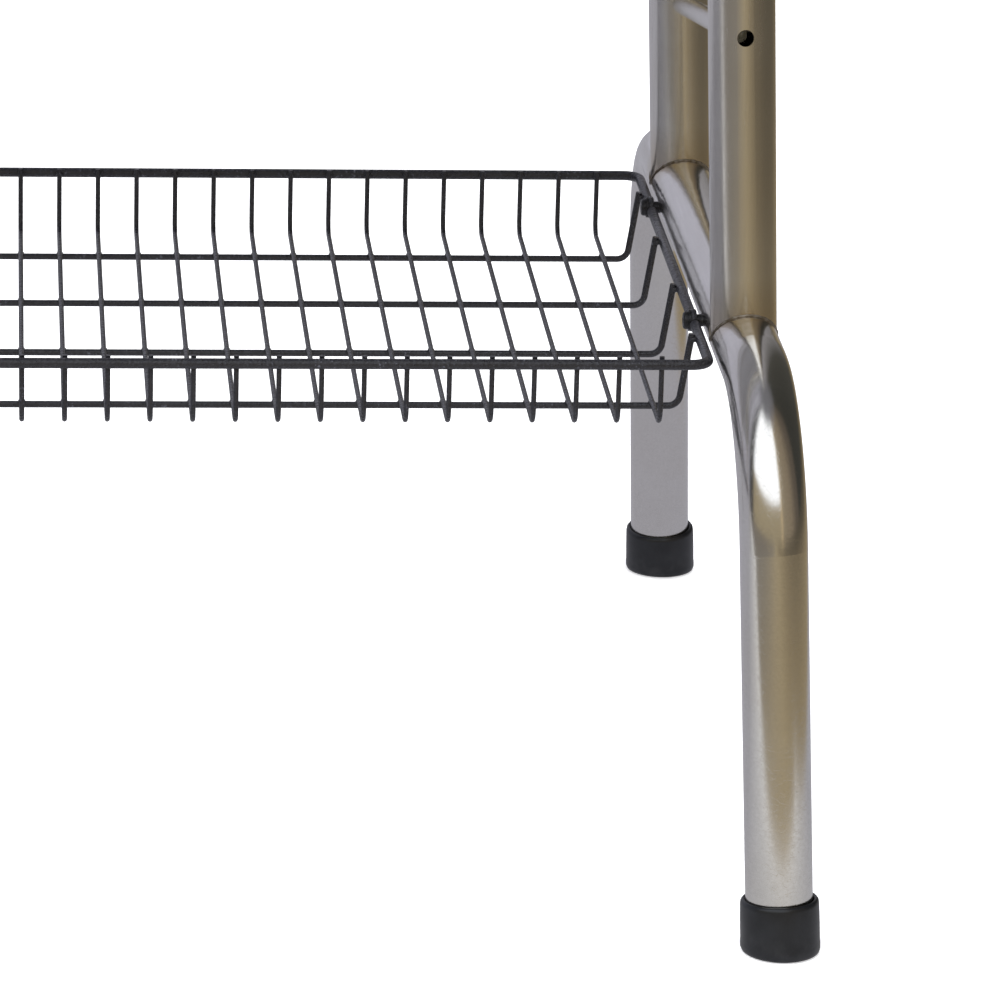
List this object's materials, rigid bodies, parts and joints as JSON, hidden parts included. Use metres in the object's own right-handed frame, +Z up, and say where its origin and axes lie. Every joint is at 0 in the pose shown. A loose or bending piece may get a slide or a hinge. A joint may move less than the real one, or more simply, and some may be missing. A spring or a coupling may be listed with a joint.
{
  "type": "dish drying rack",
  "caption": "Floor-standing dish drying rack: bent steel tube ends on rubber feet, a low wire basket, and a wire dish rack with plate dividers over a sliding drip tray.",
  "frame": {"origin": "middle of the rack on the floor", "axes": "+X to the right end, +Y to the rear, +Z up"},
  "size_m": [1.0384, 0.7058, 0.8785],
  "materials": {
    "polished_tube": "satin polished stainless steel tube",
    "coated_wire": "charcoal textured powder coat",
    "rubber": "smooth black moulded rubber",
    "sheet_steel": "brushed stainless sheet",
    "zinc_hardware": "bright zinc plate",
    "black_hardware": "black oxide"
  },
  "bodies": {
    "rack_frame": {"basket_cross_wires": "coated_wire", "basket_long_wire_1": "coated_wire", "basket_long_wire_2": "coated_wire", "basket_long_wire_3": "coated_wire", "basket_long_wire_4": "coated_wire", "basket_rim": "coated_wire", "basket_rivet_nuts": "zinc_hardware", "basket_screws": "black_hardware", "basket_sleeves": "black_hardware", "basket_washers": "black_hardware", "crossbar_front": "polished_tube", "crossbar_rear_lower": "polished_tube", "crossbar_rear_upper": "polished_tube", "foot_arch_left": "polished_tube", "foot_arch_right": "polished_tube", "foot_cap_front_left": "rubber", "foot_cap_front_right": "rubber", "foot_cap_rear_left": "rubber", "foot_cap_rear_right": "rubber", "plate_dividers": "coated_wire", "rack_cross_wires": "coated_wire", "rack_long_wire_1": "coated_wire", "rack_long_wire_2": "coated_wire", "rack_long_wire_3": "coated_wire", "rack_long_wire_4": "coated_wire", "rack_rim": "coated_wire", "rack_rivet_nuts": "zinc_hardware", "rack_screws": "black_hardware", "rack_sleeves": "black_hardware", "rack_washers": "black_hardware", "side_hoop_left": "polished_tube", "side_hoop_right": "polished_tube", "tie_rod_left": "polished_tube", "tie_rod_right": "polished_tube", "tie_rod_screws": "zinc_hardware", "tray_rail_left": "sheet_steel", "tray_rail_right": "sheet_steel", "tray_rail_screws": "zinc_hardware"},
    "drip_tray": {"drip_tray": "sheet_steel"}
  },
  "joints": [
    {"name": "drip_tray_slide", "type": "slide", "parent": "rack_frame", "child": "drip_tray", "axis": [0, -1, 0], "range_m": [0, 0.28]}
  ]
}
